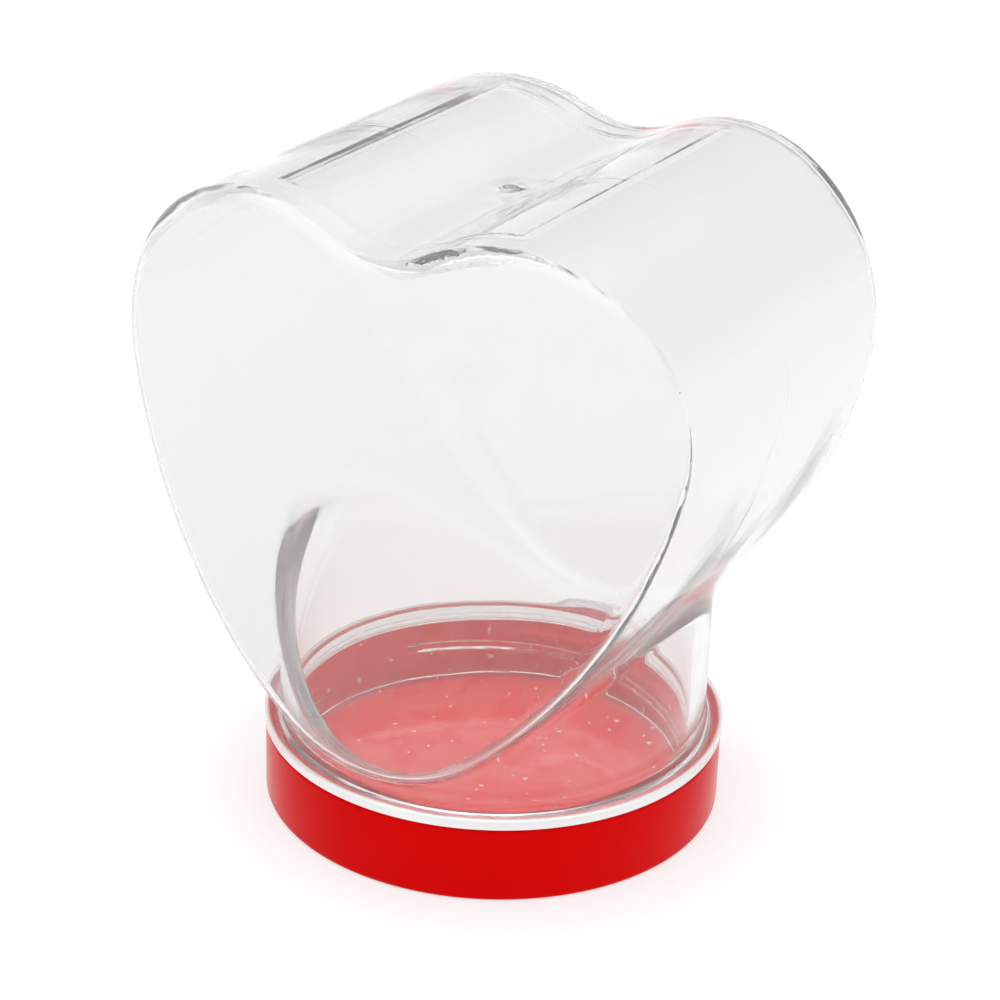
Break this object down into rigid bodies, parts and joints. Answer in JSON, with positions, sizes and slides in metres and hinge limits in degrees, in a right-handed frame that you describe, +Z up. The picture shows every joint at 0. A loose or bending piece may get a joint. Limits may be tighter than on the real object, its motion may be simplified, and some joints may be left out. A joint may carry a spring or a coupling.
{
  "type": "heart-shaped screw-lid jar",
  "caption": "Clear plastic heart-shaped jar with a wide round threaded neck, standing upside down on its shallow red screw lid.",
  "frame": {"origin": "centre of the lid's flat underside, which rests on the surface", "axes": "+Z up along the neck and thread axis, from the lid to the top of the heart; X across the width of the heart; Y through its depth"},
  "size_m": [0.09, 0.0762, 0.1011],
  "materials": {
    "jar_clear": "clear glossy polystyrene with soft moulding ripples",
    "lid_red": "bright red satin-gloss moulded plastic",
    "disc_clear": "thin clear plastic disc, slightly wavy"
  },
  "bodies": {
    "lid": {"lid": "lid_red"},
    "sealing_disc": {"sealing_disc": "disc_clear"},
    "jar": {"jar": "jar_clear"}
  },
  "joints": [
    {"name": "screw_lift", "type": "slide", "parent": "lid", "child": "sealing_disc", "axis": [0, 0, 1], "range_m": [0, 0.0068]},
    {"name": "screw_turn", "type": "hinge", "parent": "sealing_disc", "child": "jar", "pos_m": [0, 0, 0.003], "axis": [0, 0, 1], "range_deg": [0, 300]}
  ],
  "couplings": [
    {"joint": "screw_lift", "follows": "screw_turn", "m_per_rad": 0.0012732}
  ]
}
